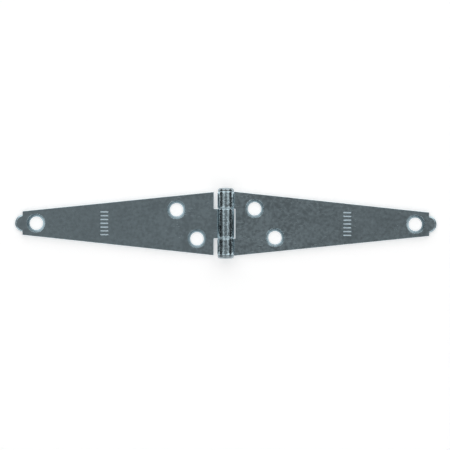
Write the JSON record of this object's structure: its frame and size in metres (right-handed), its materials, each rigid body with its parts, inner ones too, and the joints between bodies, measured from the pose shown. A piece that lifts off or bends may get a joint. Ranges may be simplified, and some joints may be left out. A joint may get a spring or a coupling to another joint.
{
  "type": "strap hinge",
  "caption": "Light strap hinge: tapered sheet-steel straps with countersunk screw holes fold on a headed pin through a rolled barrel.",
  "frame": {"origin": "on the mounting plane, under the middle of the pin, with the hinge open flat", "axes": "+X runs along the straps, towards the strap with the two outer knuckles; +Y runs along the pin, towards its factory head; +Z points out of the mounting plane, to the side of the barrel and the countersinks"},
  "size_m": [0.1524, 0.0256, 0.0061],
  "materials": {
    "zinc_plated_sheet": "satin",
    "zinc_plated_pin": "satin"
  },
  "bodies": {
    "outer_strap": {"outer_knuckle_strap": "zinc_plated_sheet", "hinge_pin": "zinc_plated_pin"},
    "centre_strap": {"centre_knuckle_strap": "zinc_plated_sheet"}
  },
  "joints": [
    {"name": "pin_hinge", "type": "hinge", "parent": "outer_strap", "child": "centre_strap", "pos_m": [0, 0, 0.00305], "axis": [0, 1, 0], "range_deg": [-95, 180]}
  ]
}
